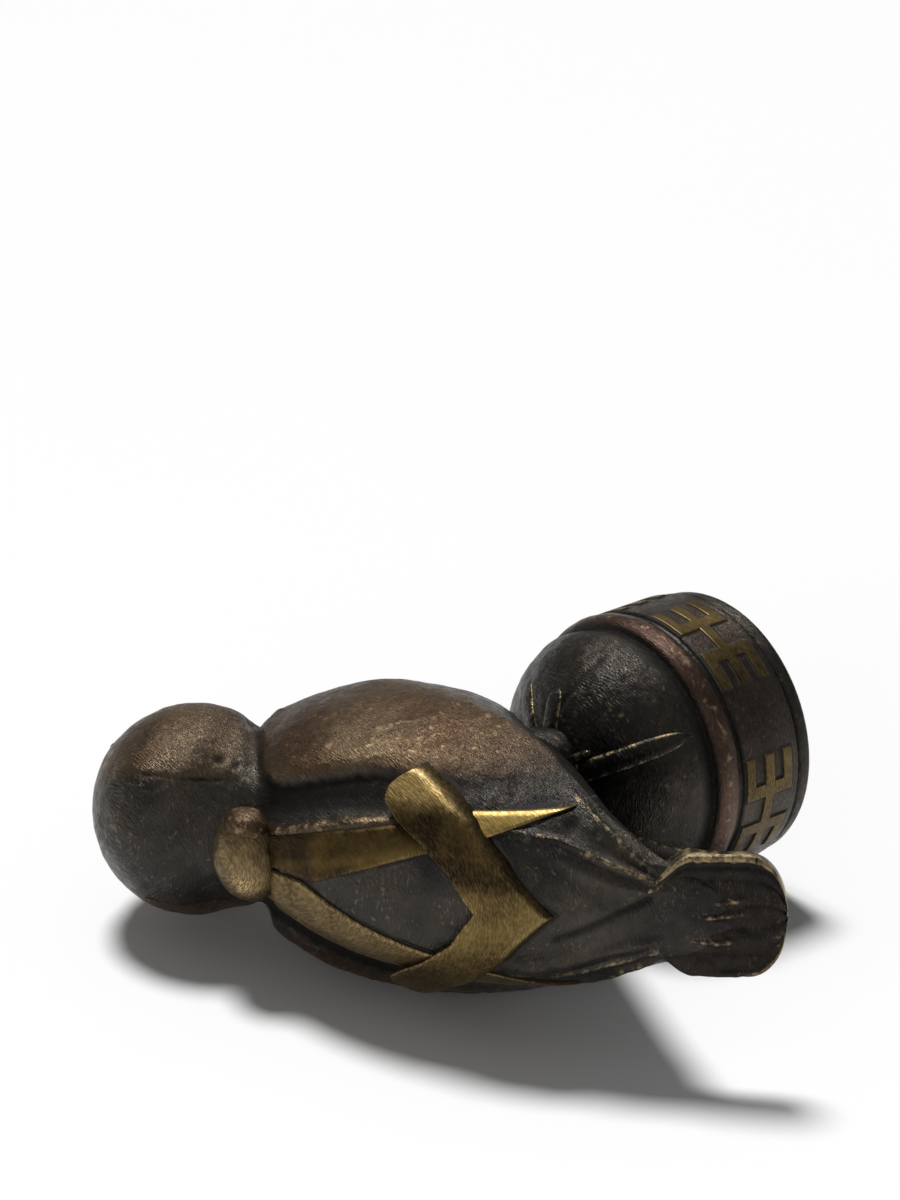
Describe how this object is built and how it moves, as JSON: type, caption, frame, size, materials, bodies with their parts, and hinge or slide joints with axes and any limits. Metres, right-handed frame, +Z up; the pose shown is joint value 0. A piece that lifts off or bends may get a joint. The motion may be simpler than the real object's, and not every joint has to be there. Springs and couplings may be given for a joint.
{
  "type": "owl figurine",
  "caption": "Small dark bronze owl bending forward over a round domed base, with bright brass inlays in its back and round the base, lying on its side.",
  "frame": {"origin": "the surface the figurine lies on, under the middle of its bounding box", "axes": "+X from the crown of the head towards the tail, -Y the way the owl's back points, so its base faces +Y, and +Z up from the surface it lies on"},
  "size_m": [0.097, 0.0858, 0.0399],
  "materials": {
    "bronze": "dark brown patinated bronze, semi-gloss, scratched",
    "brass": "bright yellow brass, satin, tarnished at its edges"
  },
  "bodies": {
    "root": {"owl_casting": "bronze", "nape_knob": "brass", "strap_left": "brass", "strap_right": "brass", "chevron": "brass", "fret_key_1": "brass", "fret_key_2": "brass", "fret_key_3": "brass", "fret_key_4": "brass", "fret_key_5": "brass"}
  },
  "joints": []
}
